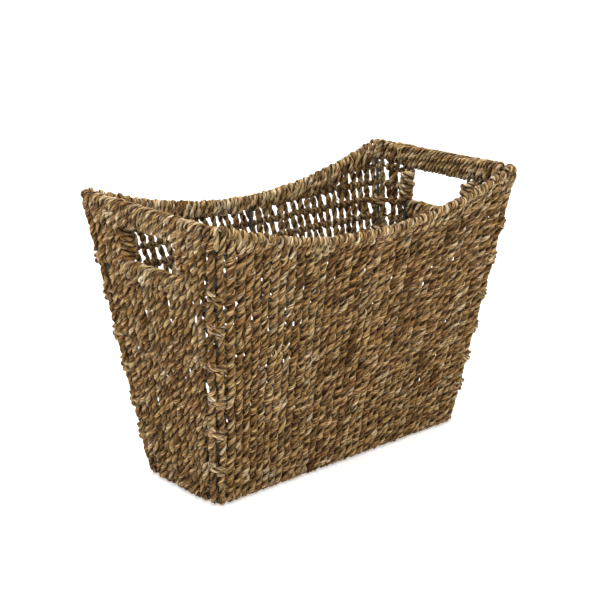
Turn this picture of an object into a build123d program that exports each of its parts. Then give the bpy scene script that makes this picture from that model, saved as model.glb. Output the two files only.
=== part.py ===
from build123d import *
import math
import os

# Seagrass basket woven on a welded steel wire frame: a tapered tub whose rim dips along
# both long sides like a saddle, with a hand slot in each end.
# Frame: +X along the long side, +Y across, +Z up, origin on the floor under the centre.

# ---------------------------------------------------------------- driving dimensions, mm
BASE_LENGTH = 376.0       # outside, at the floor
BASE_WIDTH = 130.0
RIM_LENGTH = 454.0        # outside, between the corners at TAPER_HEIGHT
RIM_WIDTH = 240.0
TAPER_HEIGHT = 320.0      # height at which the rim sizes are taken
WALL = 14.4               # woven wall: cord in front of the wire and cord behind it
BOW = 3.0                 # how far each long side swells outwards at TAPER_HEIGHT
RIM_WIRE_END = 318.0      # height of the rim wire at the ends and corners
RIM_WIRE_MIDDLE = 278.0   # height of the rim wire at the middle of the long sides
ROLL_RADIUS = 7.2         # cord looped over the rim wire
CORNER_FLAT = 8.0         # flat across each corner, as wide as this on both walls

WIRE_RADIUS = 1.5         # rim, base, hoop, sill and handle wires
POST_RADIUS = 2.0         # upright rods
WELD_GAP = 0.25           # left between a rod and the wire it is welded to
BEND_RADIUS = 8.0         # bend of the wires at the four corners

BASE_WIRE_HEIGHT = 7.2    # the cords pass under this wire
HOOP_PITCH = 20.4         # spacing of the level hoops above it
FULL_HOOPS = 12           # hoops that run all the way round; the last is the slots' sill

WINDOW_HALF = 54.0        # half width of the gap in each end wall
SLOT_HALF = 44.0          # half width of the clear hand slot
HANDLE_WIRE_DROP = 15.0   # handle wire below the rim wire
HANDLE_RADIUS = 7.0       # half thickness of the wound handle
HANDLE_POST_TOP = 50.0    # distance of the handle posts from the centre line at the rim
HANDLE_POST_FOOT = 43.75  # and at the base

BASE_ROD_SPACING = 27.0   # between the three rods under the floor
LASHING_RADIUS = 4.6      # cord wound round a corner post
LASHING_HEIGHT = 10.0
LASHED_HOOPS = range(1, FULL_HOOPS + 1, 2)   # each lashing stands just above its hoop

HALF_WALL = WALL / 2
POST_INSET = WIRE_RADIUS + POST_RADIUS + WELD_GAP
RIM_TOP = RIM_WIRE_END + ROLL_RADIUS
SLOT_BOTTOM = BASE_WIRE_HEIGHT + FULL_HOOPS * HOOP_PITCH + HALF_WALL
SLOPE_X = (RIM_LENGTH - BASE_LENGTH) / 2 / TAPER_HEIGHT
SLOPE_Y = (RIM_WIDTH - BASE_WIDTH) / 2 / TAPER_HEIGHT
RIM_RISE = RIM_WIRE_END - RIM_WIRE_MIDDLE


# ---------------------------------------------------------------- the tapered wall
def half_length(z):
    """Half length of the wall's middle surface at height z."""
    return BASE_LENGTH / 2 - HALF_WALL + SLOPE_X * z


def half_width(z):
    """Half width of the wall's middle surface at height z, at the corners."""
    return BASE_WIDTH / 2 - HALF_WALL + SLOPE_Y * z


def bow(z):
    """Swelling of a long side at height z: none at the base, growing evenly upwards."""
    return BOW * z / TAPER_HEIGHT


def rim_height(s):
    """Height of the rim wire, where s runs from -1 to 1 between the corners."""
    return RIM_WIRE_MIDDLE + RIM_RISE * s * s


def long_side_point(s, z, side=-1, outward=0.0):
    """A point of a long wall's middle surface; side is -1 for the front, 1 for the back."""
    y = half_width(z) + bow(z) * (1 - s * s) + outward
    return Vector(s * half_length(z), side * y, z)


def long_side_edge(z, offset, shorter=0.0):
    """The long side's curve at height z, offset outwards, from the -X to the +X corner."""
    a = half_length(z) + offset - shorter
    b = half_width(z) + offset
    return Bezier((-a, -b, z), (0, -b - 2 * bow(z), z), (a, -b, z))


def corner_middle(z):
    """The middle of the flat across the +X, +Y corner at height z."""
    inset = HALF_WALL - CORNER_FLAT / 2
    return half_length(z) + inset, half_width(z) + inset


def long_side_section(z):
    """Mitred cross-section of the front wall at height z."""
    outer = long_side_edge(z, HALF_WALL, CORNER_FLAT)
    inner = long_side_edge(z, -HALF_WALL)
    x, y = corner_middle(z)
    right = Polyline(outer @ 1, (x, -y, z), inner @ 1)
    left = Polyline(inner @ 0, (-x, -y, z), outer @ 0)
    return make_face([outer, *right.edges(), inner, *left.edges()])


def end_section(z):
    """Mitred cross-section of the +X end wall at height z."""
    outer = half_length(z) + HALF_WALL
    inner = half_length(z) - HALF_WALL
    wide = half_width(z) + HALF_WALL - CORNER_FLAT
    narrow = half_width(z) - HALF_WALL
    x, y = corner_middle(z)
    back = [(outer, wide, z), (x, y, z), (inner, narrow, z)]
    front = [(inner, -narrow, z), (x, -y, z), (outer, -wide, z)]
    return make_face(Polyline(*back, *front, close=True))


# ---------------------------------------------------------------- the wire frame
def swept(path, radius):
    """A round wire along a path."""
    start = Plane(origin=path @ 0, z_dir=path % 0)
    return sweep(start * Circle(radius), path=path)


def rod(start, end, radius):
    """A straight round rod."""
    along = Vector(*end) - Vector(*start)
    return Plane(origin=start, z_dir=along) * Cylinder(
        radius, along.length, align=(Align.CENTER, Align.CENTER, Align.MIN)
    )


def hoop_path(z):
    """Closed level path of a hoop: bowed long sides, straight ends, bent corners."""
    a = half_length(z)
    b = half_width(z)
    front = ThreePointArc((-a, -b), (0, -b - bow(z)), (a, -b))
    back = ThreePointArc((a, b), (0, b + bow(z)), (-a, b))
    outline = make_face([front, Line((a, -b), (a, b)), back, Line((-a, b), (-a, -b))])
    rounded = fillet(outline.vertices(), BEND_RADIUS)
    return (Pos(0, 0, z) * rounded).face().outer_wire()


def hoop(z):
    return swept(hoop_path(z), WIRE_RADIUS)


def hoop_level(number):
    """Height of a hoop, counted upwards from the base wire as number 0."""
    return BASE_WIRE_HEIGHT + number * HOOP_PITCH


def rim_corner(side_x, side_y):
    """The sharp corner that the rim wire's bend is drawn about."""
    z = RIM_WIRE_END
    return Vector(side_x * half_length(z), side_y * half_width(z), z)


def rim_side(side_y):
    """The rim's saddle curve along one long side, short of both corner bends."""
    reach = 1 - BEND_RADIUS / half_length(RIM_WIRE_END)
    steps = 10
    places = [reach * (2 * i / steps - 1) for i in range(steps + 1)]
    points = [long_side_point(s, rim_height(s), side_y) for s in places]
    first = points[0] - rim_corner(-1, side_y)
    last = rim_corner(1, side_y) - points[-1]
    return Spline(*points, tangents=(first, last))


def rim_bend(side_x, side_y, side_curve_end):
    """The rim wire's bend from the end of a long side's curve to the straight end."""
    corner = rim_corner(side_x, side_y)
    end_start = corner - Vector(0, side_y * BEND_RADIUS, 0)
    return Bezier(side_curve_end, corner, end_start)


def rim_front_run(reach_y):
    """The front rim curve with both bends and the straight ends as far as -reach_y."""
    side = rim_side(-1)
    left = rim_bend(-1, -1, side @ 0)
    right = rim_bend(1, -1, side @ 1)
    z = RIM_WIRE_END
    left_end = Line((-half_length(z), -reach_y, z), left @ 1)
    right_end = Line(right @ 1, (half_length(z), -reach_y, z))
    return Wire([left_end, left, side, right, right_end])


def make_rim_wire():
    """The closed rim wire, as two halves welded at the middle of both handles."""
    half = swept(rim_front_run(0.0), WIRE_RADIUS)
    return half + half.rotate(Axis.Z, 180)


def bend_depth(z):
    """Distance from the sharp corner of a hoop to the middle of its bend."""
    angle = math.pi / 2 + math.atan(2 * bow(z) / half_length(z))
    return BEND_RADIUS * (1 / math.sin(angle / 2) - 1)


def corner_post(side_x, side_y):
    """Upright rod inside the bent corners, from the base wire to the rim wire."""
    ends = []
    for z in (WIRE_RADIUS, RIM_WIRE_END):
        inset = (POST_INSET + bend_depth(z)) / math.sqrt(2)
        x = side_x * (half_length(z) - inset)
        y = side_y * (half_width(z) - inset)
        ends.append(Vector(x, y, z))
    return ends


def middle_post(side_y):
    """Upright rod inside the hoops at the middle of a long side."""
    low = long_side_point(0, BASE_WIRE_HEIGHT, side_y, -POST_INSET)
    high = long_side_point(0, RIM_WIRE_MIDDLE, side_y, -POST_INSET)
    return low, high


def handle_post(side_x, side_y):
    """Upright rod inside the hoops beside a hand slot."""
    low = BASE_WIRE_HEIGHT
    high = RIM_WIRE_END
    foot = (side_x * (half_length(low) - POST_INSET), side_y * HANDLE_POST_FOOT, low)
    top = (side_x * (half_length(high) - POST_INSET), side_y * HANDLE_POST_TOP, high)
    return foot, top


def cross_wire(side_x, z, reach):
    """A level wire across an end wall."""
    x = side_x * half_length(z)
    return rod((x, -reach, z), (x, reach, z), WIRE_RADIUS)


def gap_in_ends(z):
    """Two blocks that stand for the gaps in the end walls at height z."""
    block = Box(8 * WIRE_RADIUS, 2 * WINDOW_HALF, 4 * WIRE_RADIUS)
    return [Pos(side * half_length(z), 0, z) * block for side in (-1, 1)]


def dip_block(z):
    """A block that stands for the part of both long sides above the rim at height z."""
    clear = 2 * WIRE_RADIUS + WELD_GAP
    reach = math.sqrt((z + clear - RIM_WIRE_MIDDLE) / RIM_RISE) * half_length(z)
    return Pos(0, 0, z) * Box(2 * reach, 2 * RIM_WIDTH, 4 * WIRE_RADIUS)


def make_frame():
    """All the wires and rods, by name."""
    wires = {
        "rim_wire": make_rim_wire(),
        "base_wire": hoop(BASE_WIRE_HEIGHT),
    }
    for number in range(1, FULL_HOOPS + 1):
        wires[f"hoop_{number:02d}"] = hoop(hoop_level(number))
    slot_level = hoop_level(FULL_HOOPS + 1)
    handle_level = hoop_level(FULL_HOOPS + 2)
    wires[f"hoop_{FULL_HOOPS + 1}"] = hoop(slot_level) - gap_in_ends(slot_level)
    wires[f"hoop_{FULL_HOOPS + 2}"] = (
        hoop(handle_level) - gap_in_ends(handle_level) - dip_block(handle_level)
    )
    for y_name, side_y in (("front", -1), ("back", 1)):
        wires[f"middle_post_{y_name}"] = rod(*middle_post(side_y), POST_RADIUS)
        for x_name, side_x in (("left", -1), ("right", 1)):
            place = f"{y_name}_{x_name}"
            wires[f"corner_post_{place}"] = rod(*corner_post(side_x, side_y), POST_RADIUS)
            wires[f"handle_post_{place}"] = rod(*handle_post(side_x, side_y), POST_RADIUS)
    for x_name, side_x in (("left", -1), ("right", 1)):
        handle_z = RIM_WIRE_END - HANDLE_WIRE_DROP
        wires[f"handle_wire_{x_name}"] = cross_wire(side_x, handle_z, HANDLE_POST_TOP)
    rod_end = half_length(BASE_WIRE_HEIGHT) - WIRE_RADIUS - WELD_GAP
    for name, row in (("front", -1), ("middle", 0), ("back", 1)):
        y = row * BASE_ROD_SPACING
        ends = [(side * rod_end, y, BASE_WIRE_HEIGHT) for side in (-1, 1)]
        wires[f"base_rod_{name}"] = rod(*ends, WIRE_RADIUS)
    return wires


# ---------------------------------------------------------------- the woven walls
def above_saddle():
    """Everything above the rim wire's saddle curve, as one block across the basket."""
    side = rim_side(-1)
    steps = 10
    points = [side @ (i / steps) for i in range(steps + 1)]
    saddle = Spline(*[(p.X, p.Z) for p in points])
    reach = points[-1].X
    top = 2 * TAPER_HEIGHT
    rest = Polyline((reach, points[-1].Z), (reach, top), (-reach, top), (-reach, points[0].Z))
    section = make_face([saddle, *rest.edges()])
    return extrude(Plane.XZ * section, amount=RIM_WIDTH, both=True)


def long_wall():
    """The front wall before its wires, roll and corner notches are cut."""
    slab = loft([long_side_section(0), long_side_section(RIM_TOP)], ruled=True)
    return slab - above_saddle()


def end_wall():
    """The +X end wall, with its hand slot's gap, before its wires and notches are cut."""
    slab = loft([end_section(0), end_section(RIM_TOP)], ruled=True)
    standing = (Align.CENTER, Align.CENTER, Align.MIN)
    window = Box(RIM_LENGTH, 2 * WINDOW_HALF, TAPER_HEIGHT, align=standing)
    return slab - Pos(half_length(SLOT_BOTTOM), 0, SLOT_BOTTOM) * window


def base_slab():
    """The woven floor between the four walls."""
    faces = []
    for z in (0.0, WALL):
        a = half_length(z) - HALF_WALL
        b = half_width(z) - HALF_WALL
        lower = Bezier((-a, -b, z), (0, -b - 2 * bow(z), z), (a, -b, z))
        upper = Bezier((a, b, z), (0, b + 2 * bow(z), z), (-a, b, z))
        sides = [lower, Line((a, -b, z), (a, b, z)), upper, Line((-a, b, z), (-a, -b, z))]
        faces.append(make_face(sides))
    return loft(faces, ruled=True)


def rim_roll():
    """Cord wound over the front rim wire, between the two corners."""
    return swept(rim_side(-1), ROLL_RADIUS)


def handle_bar(side_x):
    """Cord wound tightly round the rim wire and the handle wire."""
    high = RIM_WIRE_END
    low = RIM_WIRE_END - HANDLE_WIRE_DROP
    top = Vector(side_x * half_length(high), 0, high)
    foot = Vector(side_x * half_length(low), 0, low)
    along = top - foot
    centre = (top + foot) * 0.5
    place = Plane(origin=centre, x_dir=along, z_dir=(0, 1, 0))
    section = place * SlotCenterToCenter(along.length, 2 * HANDLE_RADIUS)
    return extrude(section, amount=WINDOW_HALF, both=True)


def slot_binding(side_x, side_y):
    """Cord wound round a handle post where it bounds the hand slot."""
    width = WINDOW_HALF - SLOT_HALF
    low = SLOT_BOTTOM
    high = RIM_WIRE_END - HANDLE_WIRE_DROP
    faces = []
    for z in (low, high):
        centre = Vector(side_x * half_length(z), side_y * (SLOT_HALF + width / 2), z)
        faces.append(Pos(*centre) * Rectangle(2 * HANDLE_RADIUS, width))
    return loft(faces, ruled=True)


def corner_notch(side_x, side_y):
    """The round channel down a corner, in which the corner post and its lashings stand."""
    low, high = corner_post(side_x, side_y)
    past = (high - low) * 0.1
    return rod(low - past, high + past, LASHING_RADIUS + WELD_GAP)


def corner_lashing(side_x, side_y):
    """Short windings of cord round a corner post, above every second hoop."""
    low, high = corner_post(side_x, side_y)
    along = high - low
    windings = []
    for number in LASHED_HOOPS:
        level = hoop_level(number + 0.5)
        start = low + along * ((level - LASHING_HEIGHT / 2 - low.Z) / along.Z)
        end = low + along * ((level + LASHING_HEIGHT / 2 - low.Z) / along.Z)
        windings.append(rod(start, end, LASHING_RADIUS) - rod(start, end, POST_RADIUS))
    return windings


def clear_of(piece, others):
    """The piece with room cut for those of the others that reach into it."""
    box = piece.bounding_box()
    low, high = box.min, box.max
    near = []
    for other in others:
        reach = other.bounding_box()
        apart = (
            reach.min.X > high.X or reach.max.X < low.X
            or reach.min.Y > high.Y or reach.max.Y < low.Y
            or reach.min.Z > high.Z or reach.max.Z < low.Z
        )
        if not apart:
            near.append(other)
    return piece - near if near else piece


def make_weave(wires):
    """All the woven and wound pieces, by name."""
    metal = list(wires.values())
    sides = [(x, y) for x in (-1, 1) for y in (-1, 1)]
    notches = [corner_notch(x, y) for x, y in sides]
    front_roll = rim_roll()
    back_roll = front_roll.rotate(Axis.Z, 180)
    bars = {-1: handle_bar(-1), 1: handle_bar(1)}
    front = clear_of(long_wall(), [front_roll] + notches)
    right = clear_of(end_wall(), notches)
    pieces = {
        "front_weave": clear_of(front, metal),
        "back_weave": clear_of(front.rotate(Axis.Z, 180), metal),
        "right_end_weave": clear_of(right, metal),
        "left_end_weave": clear_of(right.rotate(Axis.Z, 180), metal),
        "base_weave": clear_of(base_slab(), metal),
        "rim_binding_front": clear_of(front_roll, metal),
        "rim_binding_back": clear_of(back_roll, metal),
    }
    for x_name, side_x in (("left", -1), ("right", 1)):
        pieces[f"handle_wrap_{x_name}"] = clear_of(bars[side_x], metal)
        for y_name, side_y in (("front", -1), ("back", 1)):
            binding = clear_of(slot_binding(side_x, side_y), [bars[side_x]])
            pieces[f"slot_binding_{y_name}_{x_name}"] = clear_of(binding, metal)
            pieces[f"corner_lashing_{y_name}_{x_name}"] = Compound(corner_lashing(side_x, side_y))
    return pieces


# ---------------------------------------------------------------- output
def main():
    os.makedirs("parts", exist_ok=True)
    wires = make_frame()
    pieces = wires | make_weave(wires)
    for name, shape in pieces.items():
        solids = shape.solids()
        node = solids[0] if len(solids) == 1 else Compound(solids)
        print(name, len(solids), round(node.volume), all(s.is_valid for s in solids))
        export_step(node, f"parts/{name}.step")
    print(len(pieces), "nodes")


main()
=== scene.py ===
# %% [markdown]
# # A seagrass basket on a wire frame
# The real basket is a welded steel wire frame with seagrass cord wound up its level hoops,
# once round each. This lesson rebuilds it cord by cord. Every cord is two twisted plies, and
# every ply is a tube swept along a helix, so the weave is real geometry and not a picture.

# %% Load the frame
import math
import bpy
import numpy as np
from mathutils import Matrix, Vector


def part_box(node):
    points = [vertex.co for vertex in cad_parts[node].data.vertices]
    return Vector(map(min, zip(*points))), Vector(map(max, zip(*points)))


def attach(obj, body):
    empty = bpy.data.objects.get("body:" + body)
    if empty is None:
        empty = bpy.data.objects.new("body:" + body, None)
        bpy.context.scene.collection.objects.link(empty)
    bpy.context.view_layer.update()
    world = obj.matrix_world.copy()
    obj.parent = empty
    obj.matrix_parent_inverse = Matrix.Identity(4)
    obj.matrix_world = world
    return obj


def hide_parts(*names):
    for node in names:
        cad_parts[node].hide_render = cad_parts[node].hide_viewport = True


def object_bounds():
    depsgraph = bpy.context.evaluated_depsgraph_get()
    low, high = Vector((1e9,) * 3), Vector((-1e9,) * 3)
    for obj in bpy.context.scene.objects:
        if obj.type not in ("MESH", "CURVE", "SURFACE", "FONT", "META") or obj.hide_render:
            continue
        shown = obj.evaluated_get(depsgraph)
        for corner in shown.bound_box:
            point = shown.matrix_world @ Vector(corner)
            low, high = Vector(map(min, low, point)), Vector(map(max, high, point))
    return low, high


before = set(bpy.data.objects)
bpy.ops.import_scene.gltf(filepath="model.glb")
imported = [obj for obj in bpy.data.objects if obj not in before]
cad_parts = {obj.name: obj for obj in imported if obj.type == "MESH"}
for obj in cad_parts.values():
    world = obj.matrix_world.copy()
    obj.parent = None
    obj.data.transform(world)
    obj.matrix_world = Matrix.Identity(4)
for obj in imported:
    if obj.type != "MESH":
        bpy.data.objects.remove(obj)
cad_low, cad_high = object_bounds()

MM = 0.001               # one millimetre in metres
print("frame box", tuple(cad_low), tuple(cad_high))

# %% [markdown]
# ## The wall that the cords follow
# The frame already holds the basket's shape: each level hoop tells how long and how wide
# the wall is at its height. Both grow evenly with height, so two hoops are enough to draw
# a straight line, and a corner post shows how far the long sides swell between corners.

# %% Read the wall's shape from the frame
WIRE = 1.5 * MM          # radius of the frame's wires
POST = 2.0 * MM          # radius of its upright rods
BEND = 8.0 * MM          # radius of the wires' bends at the corners


def middle(node):
    """Centre of a node's box."""
    low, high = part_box(node)
    return (low + high) / 2


def through(z_low, value_low, z_high, value_high):
    """The straight line through two measured values, as value at the floor and slope."""
    slope = (value_high - value_low) / (z_high - z_low)
    return value_low - slope * z_low, slope


hoop_low, hoop_high = "hoop_01", "hoop_12"
z_low, z_high = middle(hoop_low).z, middle(hoop_high).z
LENGTH_LINE = through(z_low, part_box(hoop_low)[1].x - WIRE, z_high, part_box(hoop_high)[1].x - WIRE)
REACH_LINE = through(z_low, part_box(hoop_low)[1].y - WIRE, z_high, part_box(hoop_high)[1].y - WIRE)

BASE_LEVEL = middle("base_wire").z
RIM_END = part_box("rim_wire")[1].z - WIRE
RIM_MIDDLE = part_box("rim_wire")[0].z + WIRE
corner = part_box("corner_post_back_right")[1]
corner_width = corner.y - corner.x + LENGTH_LINE[0] + LENGTH_LINE[1] * RIM_END
WIDTH_LINE = through(0.0, REACH_LINE[0], RIM_END, corner_width)
HOOPS = np.array([middle(f"hoop_{n:02d}").z for n in range(1, 15)])


def half_length(z):
    """Half length of the wall's middle surface: a straight line in z."""
    return LENGTH_LINE[0] + LENGTH_LINE[1] * z


def half_width(z):
    """Half width of the middle surface at the corners: a straight line in z."""
    return WIDTH_LINE[0] + WIDTH_LINE[1] * z


def bow(z):
    """How far a long side swells past its corners: the hoop's reach less the half width."""
    return REACH_LINE[0] + REACH_LINE[1] * z - half_width(z)


def rim_height(s):
    """Height of the rim wire: a parabola, lowest at s = 0 and highest at s = -1 and 1."""
    return RIM_MIDDLE + (RIM_END - RIM_MIDDLE) * s * s


print("rim wire from", round(RIM_MIDDLE, 4), "to", round(RIM_END, 4), "with", len(HOOPS), "hoops")

# %% [markdown]
# ## A wall as a function
# A cord needs to know where it is on the wall, which way is outwards and which way is
# sideways. The front wall is written once, with both its bent corners, and quarter turns
# about Z give the other three walls.

# %% One function for all four walls
FRONT, RIGHT, BACK, LEFT = range(4)      # quarter turns from the front wall


def unit(v):
    """Each row divided by its length."""
    return v / np.linalg.norm(v, axis=-1, keepdims=True)


def turned(rows, quarter):
    """Rows of x, y, z turned about Z: each quarter turn takes (x, y) to (-y, x)."""
    for _ in range(quarter):
        rows = np.stack([-rows[..., 1], rows[..., 0], rows[..., 2]], axis=-1)
    return rows


def wall(quarter, along, z, n):
    """Points and side vectors of a wall: along runs from its middle, n outwards. Past the
    start of a corner bend the angle is t = e / BEND for a distance e into the bend, and the
    point is the bend's centre + (BEND + n) (sin t, -cos t)."""
    ends = quarter in (RIGHT, LEFT)
    reach, stand = (half_width(z), half_length(z)) if ends else (half_length(z), half_width(z))
    flat = reach - BEND
    swell = 0.0 if ends else bow(z) * np.clip(1 - (along / reach) ** 2, 0.0, 1.0)
    angle = np.sign(along) * np.maximum(np.abs(along) - flat, 0.0) / BEND
    x = np.clip(along, -flat, flat) + (BEND + n) * np.sin(angle)
    y = BEND - stand - swell - (BEND + n) * np.cos(angle)
    side = np.stack([np.cos(angle), np.sin(angle), np.zeros_like(angle)], axis=-1)
    return turned(np.stack([x, y, z], axis=-1), quarter), turned(side, quarter)


# %% [markdown]
# ## Two-ply cord
# Seagrass cord is twisted from two plies, and the twist is what the eye reads as rows of
# slanting grains. Each ply is a tube whose centre circles the cord's own centre line. The
# cross-section is carried along the path as whole arrays: path points times ring angles.
# Small slow changes of thickness keep the cord from looking machine-made.

# %% The twisted cord
CORD = 3.35 * MM         # radius of the round that the plies fill
TURN = 23 * MM           # length of cord in one full twist
STATIONS = 14            # cross-sections in a twist of that length
PLIES = 2                # plies in a cord
SIDES = 8                # corners of a ply's cross-section
PLY_OFFSET = 0.48        # ply centre from cord centre, as a share of the cord radius
PLY_DEEP = 0.54          # half thickness of a ply, as a share of the cord radius
PLY_WIDE = 0.74          # half width: plies pressed together fill most of the round
TWISTS = (0.8, 1.25)     # shortest and longest twist, as shares of TURN
LAY_RUN, LAY_SPREAD = 12, 0.3            # stations and radians by which the twist wanders
SWELL_RUN, SWELL_SPREAD = 8, 0.11        # the same for a ply's thickness
SHADE_RUN, SHADE_SPREAD = 14, 0.9        # the same for its shade
CORD_SHADE, PLY_SHADE = 0.35, 0.4        # how much cords differ, and the plies of one cord
SEED = 20240
rng = np.random.default_rng(SEED)


def wander(count, reach, size):
    """A smooth random curve: random knots every reach stations, joined by cosine steps."""
    knots = rng.normal(0.0, size, count // reach + 3)
    place = np.arange(count) / reach
    low = place.astype(int)
    blend = (1 - np.cos(math.pi * (place - low))) / 2
    return knots[low] * (1 - blend) + knots[low + 1] * blend


def even(path, side, thick, step):
    """The path, its side vectors and its thickness again at even distances along it."""
    run = np.concatenate([[0.0], np.cumsum(np.linalg.norm(np.diff(path, axis=0), axis=1))])
    count = max(int(run[-1] / step), 3) + 1
    at = np.linspace(0.0, run[-1], count)
    rows = np.column_stack([path, side, thick])
    rows = np.stack([np.interp(at, run, column) for column in rows.T], axis=1)
    return rows[:, :3], rows[:, 3:6], rows[:, 6], at


def cord(path, side, radius=CORD, turn=TURN, thick=None):
    """Tubes round a path: ply centre = path + offset (cos t B + sin t N), where t falls
    by 2 pi each turn. Each ring point adds deep cos r R + wide sin r S, where R points from
    the cord's centre to the ply's and S is square to it. B is the side vector squared to
    the path and N = B x T, which gives a right-handed twist."""
    thick = np.ones(len(path)) if thick is None else thick
    path, side, thick, at = even(path, side, thick, turn / STATIONS)
    count = len(path)
    tangent = unit(np.gradient(path, axis=0))
    across = unit(side - (side * tangent).sum(1, keepdims=True) * tangent)
    outward = np.cross(across, tangent)
    tone = rng.normal(0.0, CORD_SHADE)
    start = rng.uniform(0.0, math.pi)
    turn = turn * rng.uniform(*TWISTS)
    ring = np.arange(SIDES) * (2 * math.pi / SIDES)
    deep, wide = PLY_DEEP * np.cos(ring)[:, None], PLY_WIDE * np.sin(ring)[:, None]
    found = []
    for ply in range(PLIES):
        angle = start + ply * 2 * math.pi / PLIES - 2 * math.pi * at / turn
        angle = (angle + wander(count, LAY_RUN, LAY_SPREAD))[:, None]
        swell = (radius * thick * (1 + wander(count, SWELL_RUN, SWELL_SPREAD)))[:, None]
        away = np.cos(angle) * across + np.sin(angle) * outward
        beside = np.cos(angle) * outward - np.sin(angle) * across
        centre = path + away * PLY_OFFSET * swell
        points = centre[:, None] + (deep * away[:, None] + wide * beside[:, None]) * swell[:, None]
        shade = tone + rng.normal(0.0, PLY_SHADE) + wander(count, SHADE_RUN, SHADE_SPREAD)
        found.append((points, at, shade))
    return found


# %% [markdown]
# ## From tubes to a mesh
# A basket wall holds dozens of cords. Joining their arrays first and filling one mesh with
# foreach_set is far quicker than adding faces one at a time. Each face corner gets a UV
# that is a real length along the ply and a real length round it, so a fibre pattern keeps
# its size, and each point carries how light its strand of grass is. Each point also carries
# which way it faces from its cord's centre, and the material paints shade on the side that
# faces the other ply.

# %% Build one mesh from many tubes
def tube_faces(rings, sides):
    """Quads between neighbouring rings, turned so that they face outwards."""
    ring = np.arange(rings - 1)[:, None] * sides
    here = np.arange(sides)[None, :]
    after = (here + 1) % sides
    return np.stack([ring + here, ring + sides + here, ring + sides + after, ring + after], axis=-1)


def tube_uv(at, sides, around):
    """Length along and length round, for the four corners of every quad."""
    low, high = at[:-1, None], at[1:, None]
    here = np.arange(sides)[None, :] * (around / sides)
    after = here + around / sides
    rows = [(low, here), (high, here), (high, after), (low, after)]
    full = np.ones((len(at) - 1, sides))
    return np.stack([np.stack([a * full, b * full], axis=-1) for a, b in rows], axis=2)


def mesh_piece(name, tubes, radius=CORD):
    """One mesh object from a list of (points, length along, shade) tubes with closed ends."""
    points, loops, sizes, uvs, shades, grooves = [], [], [], [], [], []
    start = 0
    around = math.pi * (PLY_DEEP + PLY_WIDE) * radius
    for rings, at, shade in tubes:
        count, sides = rings.shape[:2]
        quads = tube_faces(count, sides) + start
        caps = [start + np.arange(sides), start + (count - 1) * sides + np.arange(sides)[::-1]]
        points.append(rings.reshape(-1, 3))
        loops += [quads.reshape(-1), caps[0], caps[1]]
        sizes += [np.full(quads.size // 4, 4), np.array([sides, sides])]
        drift = rng.uniform(0.0, 1.0, 2)
        uv = tube_uv(at, sides, around).reshape(-1, 2) + drift
        cap_uv = np.full((2 * sides, 2), drift[0])
        uvs += [uv, cap_uv]
        shades.append(np.repeat(shade, sides))
        # This value is 1 on a ply's outer side and -1 where it faces the other ply; the material paints
        # shade in the grooves where it is low.
        facing = np.cos(np.arange(sides) * (2 * math.pi / sides))
        grooves.append(np.tile(facing, count))
        start += count * sides
    points, loops, sizes = np.concatenate(points), np.concatenate(loops), np.concatenate(sizes)
    mesh = bpy.data.meshes.new(name)
    mesh.vertices.add(len(points))
    mesh.vertices.foreach_set("co", points.astype(np.float32).ravel())
    mesh.loops.add(len(loops))
    mesh.loops.foreach_set("vertex_index", loops.astype(np.int32))
    mesh.polygons.add(len(sizes))
    mesh.polygons.foreach_set("loop_start", np.concatenate([[0], np.cumsum(sizes)[:-1]]).astype(np.int32))
    mesh.polygons.foreach_set("loop_total", sizes.astype(np.int32))
    mesh.polygons.foreach_set("use_smooth", np.ones(len(sizes), dtype=bool))
    layer = mesh.uv_layers.new(name="strand")
    layer.data.foreach_set("uv", np.concatenate(uvs).astype(np.float32).ravel())
    for label, values in (("shade", shades), ("groove_shade", grooves)):
        attribute = mesh.attributes.new(label, "FLOAT", "POINT")
        attribute.data.foreach_set("value", np.concatenate(values).astype(np.float32))
    mesh.update()
    mesh.validate()
    piece = bpy.data.objects.new(name, mesh)
    bpy.context.scene.collection.objects.link(piece)
    triangles = int((sizes - 2).sum())
    print(name, len(tubes), "plies", triangles, "triangles")
    return piece


def finish_piece(piece, material, slot, *nodes):
    """Gives a piece its finish and its body, and hides the CAD nodes that it stands for."""
    piece.data.materials.append(material)
    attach(piece, "root")
    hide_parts(*nodes)
    return piece


# %% [markdown]
# ## The path of one upright cord
# An upright cord turns once round every hoop. It comes up in front of the hoop, goes over
# it, down behind it and up in front again half a space further on, so each hoop is covered
# while a gap stays open between the legs. At the rim it goes over the wire twice, which
# closes the wall there. A path is a table of four rows: sideways place in column spaces,
# height, distance outwards and thickness.

# %% Pieces of a path
LOOP_OUT = 4.1 * MM              # cord centre to wire centre, in front and behind
LOOP_UP = 2.1 * MM               # the same above and below, where the cord is squeezed
RIM_UP = 4.2 * MM                # and over the rim wire and under the base wire
UNDER = 1.8 * MM                 # how far a loop's end lies behind its beginning
TIGHT = 0.76                     # thickness of a cord pulled round a wire
RIM_TIGHT = 0.92                 # the same over the rim, where nothing else stands
FULL = (1.0, 1.3)                # and half way between two wires, where it springs open
HALF_STEP = 0.2                  # a loop moves from one to the other side of its column
RIM_STEP = 0.25                  # at the rim the loops stand evenly, half a space apart
FINE = 1.0 * MM                  # spacing of path points before they are evened out


def smooth(t):
    """A cosine step from 0 to 1: (1 - cos(pi t)) / 2."""
    return (1 - np.cos(math.pi * t)) / 2


def loop(level, first, last, u_first, u_last, up=LOOP_UP, thick=TIGHT):
    """Part of a turn round a wire: n = LOOP_OUT cos a, z = level + up sin a."""
    a = np.linspace(first, last, int(6 * (last - first)) + 2)
    done = (a - first) / (last - first)
    u = u_first + (u_last - u_first) * smooth(done)
    n = LOOP_OUT * np.cos(a) + UNDER * (0.5 - done) * np.abs(np.cos(a))
    return np.stack([u, level + up * np.sin(a), n, np.full(len(a), thick)])


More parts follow.
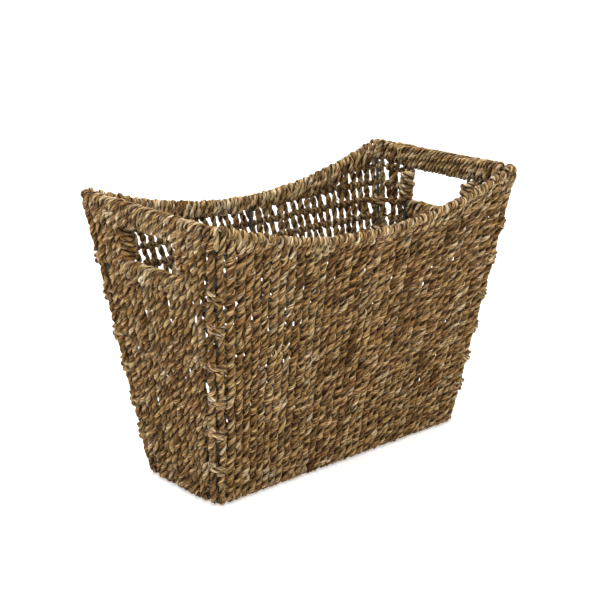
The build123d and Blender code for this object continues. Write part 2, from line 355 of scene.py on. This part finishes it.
def leg(z_first, z_last, u_first, u_last, n_first, n_last, dip=0.0):
    """A straight run between two loops, thicker and sunk by dip half way."""
    full = rng.uniform(*FULL)
    t = np.linspace(0.0, 1.0, max(int(abs(z_last - z_first) / FINE), 2) + 1)[1:-1]
    hump = np.sin(math.pi * t)
    n = n_first + (n_last - n_first) * smooth(t) - dip * hump
    return np.stack([
        u_first + (u_last - u_first) * t, z_first + (z_last - z_first) * t, n,
        TIGHT + (full - TIGHT) * hump ** 0.5,
    ])


# %% The whole path
FOOT = 8 * MM                    # short end of the cord inside the wall's foot
TAIL = 13 * MM                   # end of the cord behind the rim
BAND = 15 * MM                   # depth of the doubled band under the rim
LEAST = 5.0 * MM                 # a hoop nearer to the rim than this is passed by
LOWEST = 4.2 * MM                # cord centres stay this far above the ground
LEVEL_SPREAD = 0.5 * MM          # how far a turn slips up or down its hoop's cover
ARRIVE, LEAVE = (0.3, 1.5), (0.4, 1.4)   # where legs meet a turn, as shares of the step
DIP = 0.5 * MM                   # how far a leg sinks between two hoops
PROUD = 1.2 * MM                 # the band's second run lies outside its first
TUCK = 0.7                       # the tail lies this share of LOOP_OUT behind the wall
TURN_ROUND = 2 * math.pi


def upright(start, top, band=BAND, h=HALF_STEP):
    """Rows u, z, n and thickness of a whole upright cord, and where its last part begins."""
    out = LOOP_OUT
    parts = []
    if start == BASE_LEVEL:
        parts += [leg(start + FOOT, start, h, h, -out, -out)]
        parts += [loop(start, math.pi, TURN_ROUND, h, h, RIM_UP)]
        parts += [loop(start, 0.0, TURN_ROUND, h, -h, RIM_UP)]
    else:
        parts += [loop(start, math.pi, TURN_ROUND, h, -h)]
    before, place = start, -h
    for level in HOOPS[(HOOPS > start + LEAST) & (HOOPS < top - LEAST)]:
        level = level + rng.normal(0.0, LEVEL_SPREAD)
        lean, leave = h * rng.uniform(*ARRIVE), -h * rng.uniform(*LEAVE)
        parts += [leg(before, level, place, lean, out, out, DIP)]
        parts += [loop(level, 0.0, TURN_ROUND, lean, leave)]
        before, place = level, leave
    count = sum(part.shape[1] for part in parts)
    back = max(before, top - band)
    r = RIM_STEP
    parts += [leg(before, top, place, r, out, out), loop(top, 0.0, math.pi, r, r, RIM_UP, RIM_TIGHT)]
    parts += [leg(top, back, r, 0.0, -out, -out), loop(back, math.pi, TURN_ROUND, 0.0, -r)]
    parts += [leg(back, top, -r, -r, out + PROUD, out)]
    parts += [loop(top, 0.0, math.pi, -r, -r, RIM_UP, RIM_TIGHT)]
    parts += [leg(top, top - TAIL, -r, -r, -out, -TUCK * out)]
    return np.concatenate(parts, axis=1), count


PLACE_SPREAD = 0.03              # how far a column stands off its place, in spaces
SWAY_RUN, SWAY_SPREAD = 14, 0.05         # path points and spaces by which it sways
DEPTH_RUN, DEPTH_SPREAD = 12, 0.3 * MM   # the same outwards
GIRTH_SPREAD = 0.05              # how much cords differ in thickness


def split(tube, length):
    """One tube as two that meet at a ring near that length."""
    points, at, shade = tube
    k = int(np.clip(np.searchsorted(at, length), 1, len(at) - 2))
    return (points[:k + 1], at[:k + 1], shade[:k + 1]), (points[k:], at[k:], shade[k:])


def laid(quarter, column, space, rows, count):
    """Lays a path on a wall. column and space give a column's place and width at height z.
    Returns the tubes below the last part, and the last part's."""
    u, z, n, thick = rows
    along = column(z) + space(z) * (u + rng.normal(0, PLACE_SPREAD) + wander(len(z), SWAY_RUN, SWAY_SPREAD))
    n = n + wander(len(z), DEPTH_RUN, DEPTH_SPREAD)
    points, side = wall(quarter, along, z, n)
    points[:, 2] = np.maximum(points[:, 2], LOWEST)
    length = float(np.linalg.norm(np.diff(points[:count + 1], axis=0), axis=1).sum())
    radius = CORD * (1 + rng.normal(0.0, GIRTH_SPREAD))
    parts = [split(tube, length) for tube in cord(points, side, radius, TURN, thick)]
    return [part[0] for part in parts], [part[1] for part in parts]


# %% [markdown]
# ## The long walls
# The number of cords stays the same from floor to rim, so they fan out a little. There is
# a gap and not a cord in the middle, because an upright rod stands there behind the hoops.

# %% Weave the front and the back
SPACES = 37                      # column spaces along a long wall
INTO_BEND = 2.5 * MM             # how far into the corner bend the last column stands
CORNER_STEP = 0.05               # its loops move sideways less, to leave the corner post in view


def long_side_cords(quarter):
    """All cords of one long wall: a list of wall parts and a list of rim loops."""
    bodies, rims = [], []
    edge = lambda z: half_length(z) - BEND + INTO_BEND
    space = lambda z: 2 * edge(z) / SPACES
    for number in range(SPACES + 1):
        s = 2 * number / SPACES - 1
        top = float(rim_height(s))
        step = CORNER_STEP if number in (0, SPACES) else HALF_STEP
        rows, count = upright(BASE_LEVEL, top, h=step)
        body, rim = laid(quarter, lambda z: s * edge(z), space, rows, count)
        bodies += body
        rims += rim
    return bodies, rims


# %% [markdown]
# ## The end walls
# An end is narrow at the floor and wide at the rim. Its columns fan out less than the wall
# does, so more of them start beside the corner posts as the wall widens. Between the handle
# posts they stop at the sill of the hand slot and loop over its wire.

# %% Weave the two ends
SILL = HOOPS[11]
POST_TOP = abs(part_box("handle_post_back_right")[1].y) - POST
INNER = 4                        # columns from the centre line to a handle post
END_SPACE = POST_TOP / (INNER + 0.25)
FAN = 0.93                       # column space at the floor as a share of that at the rim
SILL_BAND = 11 * MM              # depth of the doubled band under the hand slot
ROOM = 0.5                       # spaces that a new column needs beside the last one


def fan(z):
    """How spread the end columns are at height z: 1 at the rim, FAN at the floor."""
    return FAN + (1 - FAN) * z / RIM_END


def end_edge(z):
    """Place of the last column, which follows the corner."""
    return half_width(z) - BEND + INTO_BEND


def first_level(y):
    """The lowest wire at which a column at y stands clear of the last column."""
    for level in [BASE_LEVEL, *HOOPS]:
        if end_edge(level) - y * fan(level) > ROOM * END_SPACE:
            return float(level)
    return None


def end_cords(quarter):
    """All cords of one end wall: parts below the rim, loops over the sill, loops at the rim."""
    bodies, sills, rims = [], [], []
    space = lambda z: END_SPACE * fan(z)
    for side in (-1, 1):
        rows, count = upright(BASE_LEVEL, RIM_END, h=CORNER_STEP)
        body, rim = laid(quarter, lambda z: side * end_edge(z), space, rows, count)
        bodies += body
        rims += rim
        for number in range(2 * INNER + 3):
            y = END_SPACE * (number + 0.5)
            start = first_level(y)
            if start is None:
                break
            inside = number < INNER
            rows, count = upright(start, SILL if inside else RIM_END, SILL_BAND if inside else BAND)
            body, over = laid(quarter, lambda z: side * y * fan(z), space, rows, count)
            bodies += body
            if inside:
                sills += over
            else:
                rims += over
    return bodies, sills, rims


# %% [markdown]
# ## Windings
# The handles, the posts beside the hand slots and the corner posts are wound with the same
# cord. A winding is a helix round a long round outline: the outline is walked once for
# each turn while the cord also moves on by its own width.

# %% Helical windings
WOUND_TURN = 22 * MM             # a cord pulled tight untwists a little
TOUCH = 4.2 * MM                 # wound cord's centre to the wire's centre
WOUND = 2.85 * MM                # radius of the wound cord
CLOSE = 1.06                     # spacing of a handle's turns, in cord widths
SLIP_RUN, SLIP = 40, 0.3 * MM    # path points and distance by which its turns slip
PRESSED = 0.9                    # a cord wound on a post sinks to this share of its radius


def outline(gap, radius):
    """Points round two centres gap apart, at radius from both: (across, along) arrays."""
    arc = np.linspace(0.0, math.pi, 20)
    across = np.concatenate([radius * np.cos(arc), -radius * np.cos(arc), [radius]])
    along = np.concatenate([gap + radius * np.sin(arc), -radius * np.sin(arc), [gap]])
    run = np.concatenate([[0], np.cumsum(np.hypot(np.diff(across), np.diff(along)))])
    return across, along, run / run[-1]


def winding(turns, gap, radius):
    """Across, along and progress of a winding: the outline walked turns times."""
    across, along, share = outline(gap, radius)
    walk = np.linspace(0.0, turns, int(turns * 60))
    part = walk % 1.0
    return np.interp(part, share, across), np.interp(part, share, along), walk / turns


def handle_cord(quarter):
    """The cord wound round the rim wire and the handle wire above a hand slot."""
    low = middle("handle_wire_right").z
    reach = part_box("handle_wrap_right")[1].y - WOUND
    turns = round(2 * reach / (CLOSE * 2 * WOUND))
    n, rise, progress = winding(turns, RIM_END - low, TOUCH)
    y = reach * (2 * progress - 1) + wander(len(n), SLIP_RUN, SLIP)
    points, side = wall(quarter, y, low + rise, n)
    return cord(points, side, WOUND, WOUND_TURN)


def post_line(node, z, mirror_x, mirror_y):
    """Centre of a leaning post at height z, from its box: straight from foot to top."""
    low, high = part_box(node)
    share = (z - low.z) / (high.z - low.z)
    near = np.array([min(abs(low.x), abs(high.x)), min(abs(low.y), abs(high.y))]) + POST
    far = np.array([max(abs(low.x), abs(high.x)), max(abs(low.y), abs(high.y))]) - POST
    at = near + (far - near) * share[:, None]
    return np.stack([mirror_x * at[:, 0], mirror_y * at[:, 1], z], axis=1)


def wound_post(node, z_from, z_to, space, radius, mirror_x, mirror_y, out=0.0, wide=1.0):
    """A helix round a leaning post: centre + r (cos t D + wide sin t E) while z climbs
    evenly, where D points to the basket's outside and the centre moves out along it."""
    turns = max(round((z_to - z_from) / space), 1)
    t = np.linspace(0.0, 2 * math.pi * turns, turns * 40)
    z = np.linspace(z_from, z_to, len(t))
    centre = post_line(node, z, mirror_x, mirror_y)
    post = unit(np.gradient(centre, axis=0))
    away = unit(np.array([mirror_x, mirror_y, 0.0]))
    beside = np.array([-away[1], away[0], 0.0])
    reach = POST + PRESSED * radius
    ring = np.cos(t)[:, None] * away * (reach + out) + wide * reach * np.sin(t)[:, None] * beside
    return cord(centre + away * out + ring, post, radius, WOUND_TURN)


# %% [markdown]
# ## Seagrass
# Seagrass is a dried salt-marsh grass. Twisted into cord it is dry and matt, straw to olive
# brown, with long blades, fine ribs along them and grooves between the plies. Colour
# comes from each ply's own shade, blades and ribs laid along it by its UV map, and slow patches
# across the whole wall. Painted shade darkens the side of each ply that faces the other ply,
# where the grooves are, and the creases between blades, which a bump also sinks.

# %% Colours and node helper
def linear(text):
    """An sRGB hex colour as linear red, green, blue and alpha."""
    values = [int(text[k:k + 2], 16) / 255 for k in (1, 3, 5)]
    return [v / 12.92 if v <= 0.04045 else ((v + 0.055) / 1.055) ** 2.4 for v in values] + [1.0]


def add(tree, kind, **values):
    """Adds a node. A value that is a socket is linked, and any other sets a property or an
    input. A key with an underscore also means the input's name with a space."""
    node = tree.nodes.new(kind)
    for key, value in values.items():
        if hasattr(node, key):
            setattr(node, key, value)
            continue
        names = (key, key.replace("_", " "))
        target = next(s for s in node.inputs if s.enabled and (s.name in names or s.identifier in names))
        if isinstance(value, bpy.types.NodeSocket):
            tree.links.new(value, target)
        else:
            target.default_value = value
    return node


def result(node):
    """The node's first output that is in use."""
    return next(s for s in node.outputs if s.enabled)


def new_material(name):
    """A material with an empty node tree but for its output."""
    material = bpy.data.materials.new(name)
    material.use_nodes = True
    tree = material.node_tree
    tree.nodes.clear()
    return material, tree


# %% The seagrass cord material
BLADE = 1.7 * MM                 # width of one blade of grass in a ply
BLADE_RUN = 17 * MM              # length over which a blade shows before it dips under
FIBRE = 0.45 * MM                # width of the ribs along a blade
FIBRE_RUN = 9 * MM               # length of the ribs
COUNTER_TWIST = math.radians(20) # fibres turn against the plies and so lie along the cord
PATCH = 36 * MM                  # size of the slow changes from straw to olive
RIB_WEIGHT, BLADE_WEIGHT = 1.3, 0.6      # how much each moves the colour along the ramp
CENTRE = 0.93                    # taken off again, to keep the ramp's middle in the middle
SHADE_REACH = 3.2                # ply shades from minus to plus this cover the whole ramp
CREASE = 0.22                    # width of the crease round a blade, in blades
# The creases between blades get painted shade: only this share of the colour is left at their bottom.
COLOUR_LEFT_IN_CREASE_SHADE = 0.1                  # share of the colour left at the bottom of a crease
RELIEF = 0.9 * MM                # height of a blade over its creases
# The first colour is painted shade for the grooves between plies and the creases between blades; the second
# tints the slow olive patches.
PAINTED_GROOVE_SHADE, OLIVE_TINT = "#321b04", "#f0edd0"


def lay_colours(band, stops):
    """Sets a colour ramp's stops, given as (place, hex colour)."""
    while len(band.elements) < len(stops):
        band.elements.new(0.5)
    for element, (place, colour) in zip(band.elements, stops):
        element.position = place
        element.color = linear(colour)


def seagrass(name, stops):
    """Dry twisted grass: shade, blades and ribs pick the colour, and painted shade darkens the creases and
    the groove side of each ply.
    """
    material, tree = new_material(name)
    strand = add(tree, "ShaderNodeUVMap", uv_map="strand")
    along = add(tree, "ShaderNodeMapping", Vector=result(strand), Rotation=(0.0, 0.0, COUNTER_TWIST))
    ribbed = add(tree, "ShaderNodeMapping", Vector=result(along), Scale=(1 / FIBRE_RUN, 1 / FIBRE, 1.0))
    fibre = add(tree, "ShaderNodeTexNoise", Vector=result(ribbed), Scale=1.0, Detail=3.0)
    bladed = add(tree, "ShaderNodeMapping", Vector=result(along), Scale=(1 / BLADE_RUN, 1 / BLADE, 1.0))
    blade = add(tree, "ShaderNodeTexVoronoi", voronoi_dimensions="2D", Vector=result(bladed), Scale=1.0)
    crease = add(tree, "ShaderNodeTexVoronoi", voronoi_dimensions="2D", feature="DISTANCE_TO_EDGE",
                 Vector=result(bladed), Scale=1.0)
    open_blade = add(tree, "ShaderNodeMapRange", Value=result(crease), From_Min=0.0, From_Max=CREASE)
    own = add(tree, "ShaderNodeSeparateColor", Color=blade.outputs["Color"])
    place = add(tree, "ShaderNodeTexCoord")
    patch = add(tree, "ShaderNodeTexNoise", Vector=place.outputs["Object"], Scale=1 / PATCH, Detail=2.0)
    shade = add(tree, "ShaderNodeAttribute", attribute_name="shade")
    groove_shade = add(tree, "ShaderNodeAttribute", attribute_name="groove_shade")
    level = add(tree, "ShaderNodeMapRange", Value=shade.outputs["Fac"], From_Min=-SHADE_REACH,
                From_Max=SHADE_REACH)
    streak = add(tree, "ShaderNodeMath", operation="MULTIPLY_ADD", Value=result(fibre),
                 Value_001=RIB_WEIGHT, Value_002=result(level))
    own_tone = add(tree, "ShaderNodeMath", operation="MULTIPLY_ADD", Value=result(own),
                   Value_001=BLADE_WEIGHT, Value_002=result(streak))
    lower = add(tree, "ShaderNodeMath", operation="SUBTRACT", Value=result(own_tone),
                Value_001=CENTRE)
    grass = add(tree, "ShaderNodeValToRGB", Fac=result(lower))
    lay_colours(grass.color_ramp, stops)
    olive = add(tree, "ShaderNodeMapRange", Value=result(patch), From_Min=0.35, From_Max=0.75)
    green = add(tree, "ShaderNodeMix", data_type="RGBA", blend_type="MULTIPLY", Factor=result(olive),
                A=result(grass), B=linear(OLIVE_TINT))
    # Painted shade: the side of a ply that faces the other ply, and the creases between blades, are mixed
    # towards the painted groove shade colour.
    dark = add(tree, "ShaderNodeMapRange", Value=groove_shade.outputs["Fac"], From_Min=-0.9, From_Max=0.5)
    between = add(tree, "ShaderNodeMapRange", Value=result(open_blade), To_Min=COLOUR_LEFT_IN_CREASE_SHADE, To_Max=1.0)
    shadow = add(tree, "ShaderNodeMath", operation="MULTIPLY", Value=result(dark),
                 Value_001=result(between))
    deep = add(tree, "ShaderNodeMix", data_type="RGBA", Factor=result(shadow), A=linear(PAINTED_GROOVE_SHADE),
               B=result(green))
    height = add(tree, "ShaderNodeMath", operation="MULTIPLY_ADD", Value=result(fibre), Value_001=0.5,
                 Value_002=result(open_blade))
    relief = add(tree, "ShaderNodeBump", Height=result(height), Strength=1.0, Distance=RELIEF)
    shader = add(tree, "ShaderNodeBsdfPrincipled", Base_Color=result(deep), Normal=result(relief))
    shader.inputs["Roughness"].default_value = 0.68
    shader.inputs["Specular IOR Level"].default_value = 0.2
    add(tree, "ShaderNodeOutputMaterial", Surface=result(shader))
    return material


STRAW = [(0.0, "#54310e"), (0.3, "#996c38"), (0.55, "#c59b61"), (0.8, "#e4c28e"), (1.0, "#f6e0bd")]
# The wound cords get a paler copy of the straw colours: a painted highlight for the rim and handle tops,
# which the light from above makes brighter. The ties and slot bindings get it too.
STRAW_WITH_PAINTED_HIGHLIGHT = [(0.0, "#583512"), (0.3, "#a07745"), (0.55, "#d1ac77"), (0.8, "#f0d5a8"), (1.0, "#fdeed6")]
weave_grass = seagrass("twisted_seagrass_cord", STRAW)
wound_grass = seagrass("wound_seagrass_cord", STRAW_WITH_PAINTED_HIGHLIGHT)
print("seagrass blades", BLADE / MM, "mm wide")

# %% [markdown]
# ## Painted steel wire
# The frame is drawn steel wire, dipped in a nearly black olive paint. Paint on wire is thin
# and satin, and it wears a little where cords rub, so its roughness is uneven.

# %% The paint
GRIT = 2.5 * MM                  # size of the unevenness in the paint


def painted_steel(name):
    """Satin dark paint: one colour with small changes of tone and roughness."""
    material, tree = new_material(name)
    place = add(tree, "ShaderNodeTexCoord")
    grit = add(tree, "ShaderNodeTexNoise", Vector=place.outputs["Object"], Scale=1 / GRIT, Detail=3.0)
    tone = add(tree, "ShaderNodeValToRGB", Fac=result(grit))
    lay_colours(tone.color_ramp, [(0.3, "#24231a"), (0.6, "#383429"), (0.85, "#4e483a")])
    rough = add(tree, "ShaderNodeMapRange", Value=result(grit), To_Min=0.35, To_Max=0.6)
    relief = add(tree, "ShaderNodeBump", Height=result(grit), Strength=0.3, Distance=0.1 * MM)
    shader = add(tree, "ShaderNodeBsdfPrincipled", Base_Color=result(tone), Roughness=result(rough),
                 Normal=result(relief))
    add(tree, "ShaderNodeOutputMaterial", Surface=result(shader))
    return material


paint = painted_steel("painted_steel_wire")
WOVEN = ("weave", "binding", "wrap", "lashing")
wires = [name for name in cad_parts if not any(word in name for word in WOVEN)]
for name in wires:
    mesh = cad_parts[name].data
    mesh.materials.clear()
    mesh.materials.append(paint)
print(len(wires), "wires and rods painted")

# %% Make the walls
THIRDS = ("left", "middle", "right")


def third(items, part):
    """One of three equal runs of a list of plies, cut between whole cords."""
    cuts = [PLIES * round(len(items) * k / (3 * PLIES)) for k in range(4)]
    return items[cuts[part]:cuts[part + 1]]


for side_name, quarter in (("front", FRONT), ("back", BACK)):
    bodies, rims = long_side_cords(quarter)
    for part, place in enumerate(THIRDS):
        piece = mesh_piece(f"{side_name}_weave_{place}", third(bodies, part))
        finish_piece(piece, weave_grass, "seagrass_weave", f"{side_name}_weave")
    piece = mesh_piece(f"{side_name}_rim_loops", rims)
    finish_piece(piece, wound_grass, "seagrass_winding", f"rim_binding_{side_name}")

for end, quarter in (("right", RIGHT), ("left", LEFT)):
    bodies, sills, rims = end_cords(quarter)
    piece = mesh_piece(f"{end}_end_weave_cords", bodies)
    finish_piece(piece, weave_grass, "seagrass_weave", f"{end}_end_weave")
    for label, tubes in (("sill", sills), ("rim", rims)):
        piece = mesh_piece(f"{end}_end_{label}_loops", tubes)
        finish_piece(piece, wound_grass, "seagrass_winding")

# %% Make the windings
SLOT_CORD = 3.9 * MM             # doubled cord beside the hand slots
SLOT_SPACE = 7.6 * MM            # from one turn of it to the next
SLOT_LOW, SLOT_HIGH = 1 * MM, 9 * MM     # it starts below its post's wound part, ends under its top
TIE_CORD = 3.2 * MM              # cord tied round the corner posts
TIED = HOOPS[1:13:2]             # every other hoop has a tie
TIE_SPREAD = 2 * MM              # how far a tie slips up or down
TIE_HALF = 6 * MM                # half height of a tie
TIE_OUT, TIE_WIDE = 3.0 * MM, 1.4        # a tie also goes round the cords beside its post

for end, sign, quarter in (("right", 1.0, RIGHT), ("left", -1.0, LEFT)):
    piece = mesh_piece(f"{end}_handle_cord", handle_cord(quarter))
    finish_piece(piece, wound_grass, "seagrass_winding", f"handle_wrap_{end}")
    for row, side_sign in (("front", -1.0), ("back", 1.0)):
        node = f"slot_binding_{row}_{end}"
        low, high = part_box(node)
        post = f"handle_post_{row}_{end}"
        start, stop = low.z - SLOT_LOW, high.z - SLOT_HIGH
        tubes = wound_post(post, start, stop, SLOT_SPACE, SLOT_CORD, sign, side_sign)
        piece = mesh_piece(f"{node}_cord", tubes)
        finish_piece(piece, wound_grass, "seagrass_winding", node)
        node = f"corner_lashing_{row}_{end}"
        post = f"corner_post_{row}_{end}"
        tubes = []
        for hoop in TIED:
            level = hoop + rng.normal(0.0, TIE_SPREAD)
            tubes += wound_post(
                post, level - TIE_HALF, level + TIE_HALF, TIE_HALF, TIE_CORD, sign, side_sign,
                TIE_OUT, TIE_WIDE
            )
        piece = mesh_piece(f"{node}_cord", tubes)
        finish_piece(piece, wound_grass, "seagrass_winding", node)

# %% [markdown]
# ## Stray blades
# Cut ends of grass stand off the cords all over the basket. Each is a thin closed tube that
# leaves the wall at a slant and curls away from it.

# %% Scatter stray blades
STRAY = 0.55 * MM                # half width of a stray blade at its root
TAPER = 0.7                      # share of that lost by its tip
STRAYS = {FRONT: 420, BACK: 420, RIGHT: 220, LEFT: 220}
STRAY_RINGS, STRAY_SIDES = 7, 4
STRAY_LENGTH, STRAY_LIFT = (7 * MM, 17 * MM), (1 * MM, 4 * MM)
SLANT, SLANT_SPREAD = 0.9, 0.5   # angle from level, in radians
STRAY_SHADE, STRAY_SHADE_SPREAD = 0.9, 0.8
FROM_FLOOR, FROM_RIM, FROM_SLOT = 12 * MM, 6 * MM, 8 * MM


def stray_blades(quarter):
    """Tapered tubes: along and z run on a slant, n rises as lift t^2, radius falls as 1 - TAPER t."""
    tubes = []
    t = np.linspace(0.0, 1.0, STRAY_RINGS)
    ring = np.arange(STRAY_SIDES) * (2 * math.pi / STRAY_SIDES)
    for _ in range(STRAYS[quarter]):
        level = rng.uniform(FROM_FLOOR, RIM_MIDDLE - FROM_RIM)
        reach = half_width(level) if quarter in (RIGHT, LEFT) else half_length(level)
        start = rng.uniform(-1.0, 1.0) * (reach - BEND)
        if quarter in (RIGHT, LEFT) and level > SILL - FROM_SLOT and abs(start) < POST_TOP + FROM_SLOT:
            continue
        slant, length = rng.normal(SLANT, SLANT_SPREAD), rng.uniform(*STRAY_LENGTH)
        along = start + length * math.cos(slant) * t
        z = level + length * math.sin(slant) * t
        n = LOOP_OUT + 0.6 * CORD + rng.uniform(*STRAY_LIFT) * t * t
        path, side = wall(quarter, along, z, n)
        tangent = unit(np.gradient(path, axis=0))
        across = unit(side - (side * tangent).sum(1, keepdims=True) * tangent)
        outward = np.cross(across, tangent)
        spoke = np.cos(ring)[:, None] * across[:, None] + 0.5 * np.sin(ring)[:, None] * outward[:, None]
        rings = path[:, None] + spoke * (STRAY * (1 - TAPER * t))[:, None, None]
        tubes.append((rings, length * t, np.full(len(t), rng.normal(STRAY_SHADE, STRAY_SHADE_SPREAD))))
    return tubes


for wall_name, quarter in (("front", FRONT), ("right", RIGHT), ("back", BACK), ("left", LEFT)):
    piece = mesh_piece(f"{wall_name}_stray_blades", stray_blades(quarter))
    finish_piece(piece, weave_grass, "seagrass_weave")

# %% [markdown]
# ## The floor of the basket
# The floor is woven across the short way, over and under three rods. Its cords lie nearly
# twice as close as those of the long walls, since each wall cord goes twice over the base
# wire.

# %% Weave the floor
FLOOR_SPACES = 2 * SPACES - 8    # spaces between cords along the floor
FLOOR_INSET = 2.2                # how far cords stop inside the wall, in cord radii
FLOOR_FLAT = 1.38                # room kept under a cord's centre, in cord radii
FLOOR_RUN, FLOOR_SWAY = 14, 0.25 * MM    # path points and distance by which a cord sways


def floor_cords():
    """Cords across Y: z = base wire level +- lift, changing sides from rod to rod."""
    tubes = []
    rods = [middle(f"base_rod_{row}").y for row in ("front", "middle", "back")]
    edge = half_width(BASE_LEVEL) - FLOOR_INSET * CORD
    places = np.array([-edge, *rods, edge])
    y = np.arange(-edge, edge, FINE)
    lift = BASE_LEVEL - FLOOR_FLAT * CORD
    widest = half_length(BASE_LEVEL) - BEND
    count = FLOOR_SPACES
    for column in range(count + 1):
        signs = (-1.0) ** (np.arange(len(places)) + column)
        part = np.clip(np.searchsorted(places, y, side="right") - 1, 0, len(places) - 2)
        t = (y - places[part]) / (places[part + 1] - places[part])
        z = BASE_LEVEL + lift * (signs[part] * (1 - smooth(t)) + signs[part + 1] * smooth(t))
        x = widest * (2 * column / count - 1) + wander(len(y), FLOOR_RUN, FLOOR_SWAY)
        path = np.stack([x, y, z], axis=1)
        side = np.broadcast_to(np.array([1.0, 0.0, 0.0]), path.shape)
        tubes += cord(path, side)
    return tubes


piece = mesh_piece("base_weave_cords", floor_cords())
finish_piece(piece, weave_grass, "seagrass_weave", "base_weave")

# %% [markdown]
# ## Floor, light and camera
# A woven object reads by the small shadows between its cords, so the light is soft and
# comes mostly from above and from the front, over a white floor that fills the shadows.

# %% Studio
def studio_floor():
    """A wide pale floor under the basket."""
    half = 6.0
    mesh = bpy.data.meshes.new("studio_floor")
    corners = [(-half, -half, 0), (half, -half, 0), (half, half, 0), (-half, half, 0)]
    mesh.from_pydata(corners, [], [(0, 1, 2, 3)])
    floor = bpy.data.objects.new("studio_floor", mesh)
    bpy.context.scene.collection.objects.link(floor)
    material, tree = new_material("white_paper_floor")
    place = add(tree, "ShaderNodeTexCoord")
    tooth = add(tree, "ShaderNodeTexNoise", Vector=place.outputs["Object"], Scale=400.0)
    tone = add(tree, "ShaderNodeValToRGB", Fac=result(tooth))
    lay_colours(tone.color_ramp, [(0.0, "#f7f7f7"), (1.0, "#fcfcfc")])
    shader = add(tree, "ShaderNodeBsdfPrincipled", Base_Color=result(tone), Roughness=0.9)
    shader.inputs["Emission Color"].default_value = linear("#ffffff")
    shader.inputs["Emission Strength"].default_value = 0.4
    add(tree, "ShaderNodeOutputMaterial", Surface=result(shader))
    mesh.materials.append(material)


def soft_light(name, place, size, power):
    """A square soft light that looks at the middle of the basket."""
    data = bpy.data.lights.new(name, "AREA")
    data.size = size
    data.energy = power
    lamp = bpy.data.objects.new(name, data)
    lamp.location = place
    aim = Vector((0.0, 0.0, cad_high.z / 2)) - lamp.location
    lamp.rotation_euler = aim.to_track_quat("-Z", "Y").to_euler()
    bpy.context.scene.collection.objects.link(lamp)


def white_room(strength):
    """An even white surround."""
    world = bpy.data.worlds.new("white_room")
    world.use_nodes = True
    tree = world.node_tree
    tree.nodes.clear()
    glow = add(tree, "ShaderNodeBackground", Color=linear("#ffffff"), Strength=strength)
    add(tree, "ShaderNodeOutputWorld", Surface=result(glow))
    bpy.context.scene.world = world


studio_floor()
white_room(0.66)
soft_light("key_light", (-1.4, -1.4, 2.4), 1.5, 36.0)
soft_light("top_light", (0.0, 0.4, 2.6), 1.1, 68.0)
bpy.context.scene.view_settings.view_transform = "Standard"

# %% Camera
AZIMUTH, ELEVATION = math.radians(-41.84), math.radians(17.9)
DISTANCE = 1.575
camera_data = bpy.data.cameras.new("camera")
camera_data.lens = 81.9
camera_data.shift_x, camera_data.shift_y = -0.0109, 0.0272
camera = bpy.data.objects.new("camera", camera_data)
back = Vector((
    math.sin(AZIMUTH) * math.cos(ELEVATION), -math.cos(AZIMUTH) * math.cos(ELEVATION), math.sin(ELEVATION)
))
camera.location = Vector((0.0, 0.0, 0.16)) + DISTANCE * back
camera.rotation_euler = (-back).to_track_quat("-Z", "Y").to_euler()
bpy.context.scene.collection.objects.link(camera)
bpy.context.scene.camera = camera
